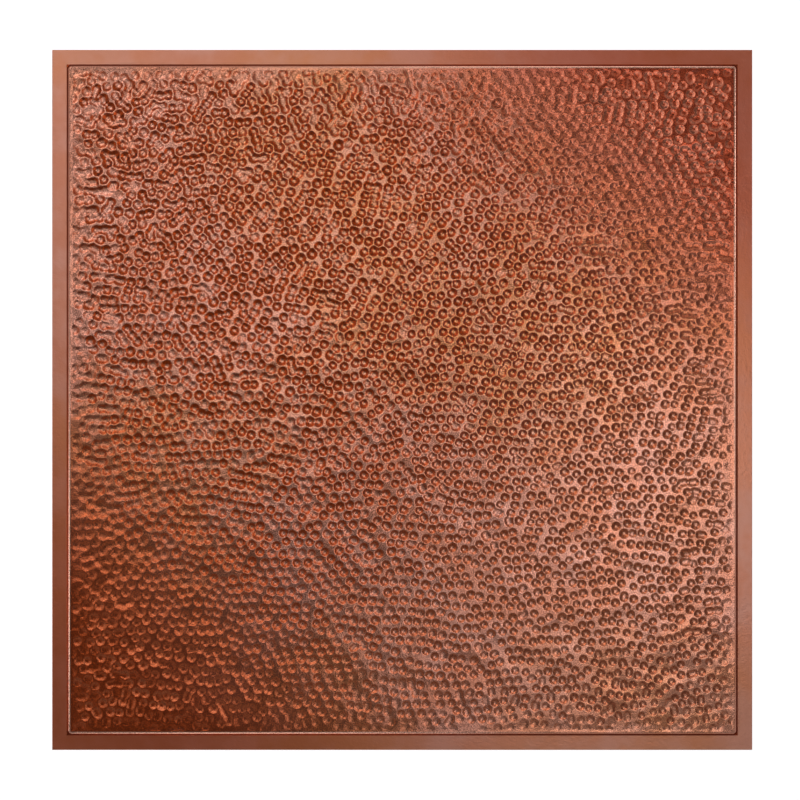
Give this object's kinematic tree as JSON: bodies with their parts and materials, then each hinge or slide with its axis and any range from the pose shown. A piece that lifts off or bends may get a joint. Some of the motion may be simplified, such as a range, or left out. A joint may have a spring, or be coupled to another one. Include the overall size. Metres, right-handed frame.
{
  "type": "pressed metal ceiling tile",
  "caption": "Square lay-in ceiling tile pressed from thin sheet metal: a flat lip, a drafted step and a raised field with an all-over hammered relief and a copper finish.",
  "frame": {"origin": "middle of the square, in the plane of the back of the flat lip, which is what the tile lies on", "axes": "+X and +Y along two sides of the square, +Z out of the decorated face"},
  "size_m": [0.6032, 0.6032, 0.0066],
  "materials": {
    "copper_finish": "satin"
  },
  "bodies": {
    "root": {"pressed_sheet": "copper_finish"}
  },
  "joints": []
}
